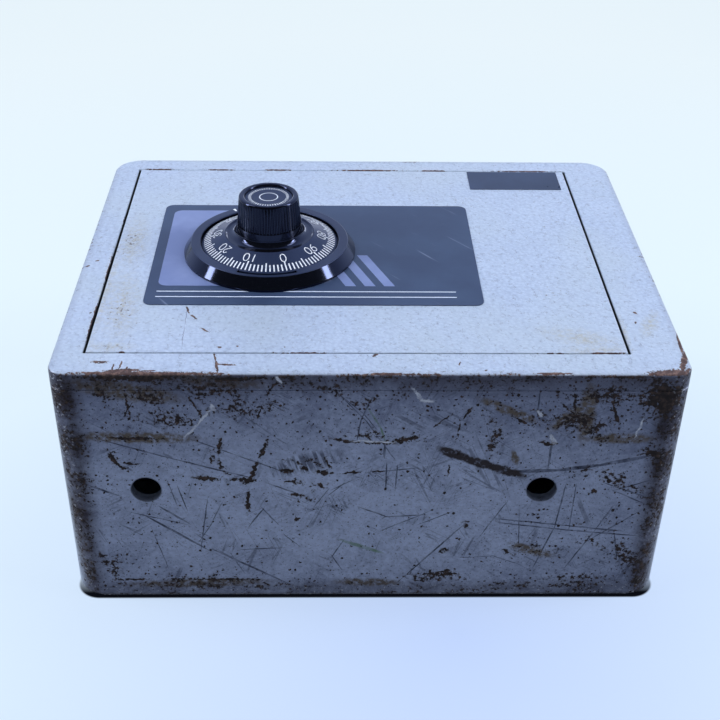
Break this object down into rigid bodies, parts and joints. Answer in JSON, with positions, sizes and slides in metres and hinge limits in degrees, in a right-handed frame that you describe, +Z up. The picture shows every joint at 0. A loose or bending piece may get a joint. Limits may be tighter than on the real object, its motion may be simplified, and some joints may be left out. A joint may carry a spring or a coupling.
{
  "type": "home safe",
  "caption": "Small steel home safe with a hinged door, a round combination dial and bolts thrown into the frame.",
  "frame": {"origin": "centre of the cabinet's base, on the face it stands on", "axes": "+X to the right as one faces the door, along the width; +Y from the door to the back; +Z up"},
  "size_m": [0.33, 0.1889, 0.265],
  "materials": {
    "hammertone": "satin hammer-finish stoving enamel over steel",
    "black_steel": "matt black primer over steel",
    "bright_steel": "ground steel",
    "zinc_screws": "zinc plated",
    "bronze": "sintered bronze",
    "brass": "turned brass",
    "zinc_casting": "die-cast, tumbled",
    "black_enamel": "gloss black enamel",
    "printed_foil": "printed polyester foil, satin"
  },
  "bodies": {
    "cabinet": {"body_wrap": "hammertone", "back_plate": "hammertone", "front_frame": "hammertone", "door_stop_upper": "black_steel", "door_stop_lower": "black_steel", "hinge_pin_upper": "bright_steel", "hinge_pin_lower": "bright_steel", "hinge_washer": "bright_steel"},
    "door": {"door_plate": "hammertone", "hinge_bushes": "bronze", "dog_bar": "black_steel", "label_plate": "printed_foil", "service_sticker": "printed_foil", "dial_ring": "black_enamel", "ring_screws": "bright_steel", "spindle_tube": "brass", "lock_case": "zinc_casting", "lock_cover": "zinc_casting", "case_screws": "zinc_screws", "cover_screws": "zinc_screws", "wheel_post": "brass", "wheel_spacers": "brass", "post_clip": "bright_steel", "bolt_saddles": "black_steel", "saddle_screws": "zinc_screws"},
    "bolt": {"lock_bolt": "brass", "bolt_bar": "black_steel", "bar_screws": "zinc_screws", "locking_bolts": "bright_steel", "bolt_nuts": "zinc_screws", "lever_screw": "bright_steel", "lever_spring": "bright_steel"},
    "lever": {"lever": "bright_steel", "fence_bar": "bright_steel"},
    "dial": {"dial_disc": "black_enamel", "knob": "black_enamel", "knob_cap": "black_enamel", "knob_screw": "bright_steel", "spindle": "brass", "drive_cam": "brass", "spline_key": "bright_steel"},
    "wheel_1": {"wheel_1": "brass", "wheel_fly_1": "brass"},
    "wheel_2": {"wheel_2": "brass", "wheel_fly_2": "brass"},
    "wheel_3": {"wheel_3": "brass", "wheel_fly_3": "brass"}
  },
  "joints": [
    {"name": "door_hinge", "type": "hinge", "parent": "cabinet", "child": "door", "pos_m": [0.1225, -0.071, 0.1345], "axis": [0, 0, 1], "range_deg": [0, 120]},
    {"name": "bolt_slide", "type": "slide", "parent": "door", "child": "bolt", "axis": [-1, 0, 0], "range_m": [0, 0.009]},
    {"name": "lever_drop", "type": "hinge", "parent": "bolt", "child": "lever", "pos_m": [-0.0871, -0.0595, 0.1429], "axis": [0, 1, 0], "range_deg": [0, 2.4]},
    {"name": "dial_spin", "type": "hinge", "parent": "door", "child": "dial", "pos_m": [-0.0571, -0.076, 0.1329], "axis": [0, 1, 0], "continuous": true},
    {"name": "wheel_1_spin", "type": "hinge", "parent": "door", "child": "wheel_1", "pos_m": [-0.0571, -0.0399, 0.1329], "axis": [0, 1, 0], "continuous": true},
    {"name": "wheel_2_spin", "type": "hinge", "parent": "door", "child": "wheel_2", "pos_m": [-0.0571, -0.0437, 0.1329], "axis": [0, 1, 0], "continuous": true},
    {"name": "wheel_3_spin", "type": "hinge", "parent": "door", "child": "wheel_3", "pos_m": [-0.0571, -0.0475, 0.1329], "axis": [0, 1, 0], "continuous": true}
  ],
  "couplings": [
    {"joint": "wheel_1_spin", "follows": "dial_spin", "ratio": 1},
    {"joint": "wheel_2_spin", "follows": "dial_spin", "ratio": 1},
    {"joint": "wheel_3_spin", "follows": "dial_spin", "ratio": 1}
  ]
}
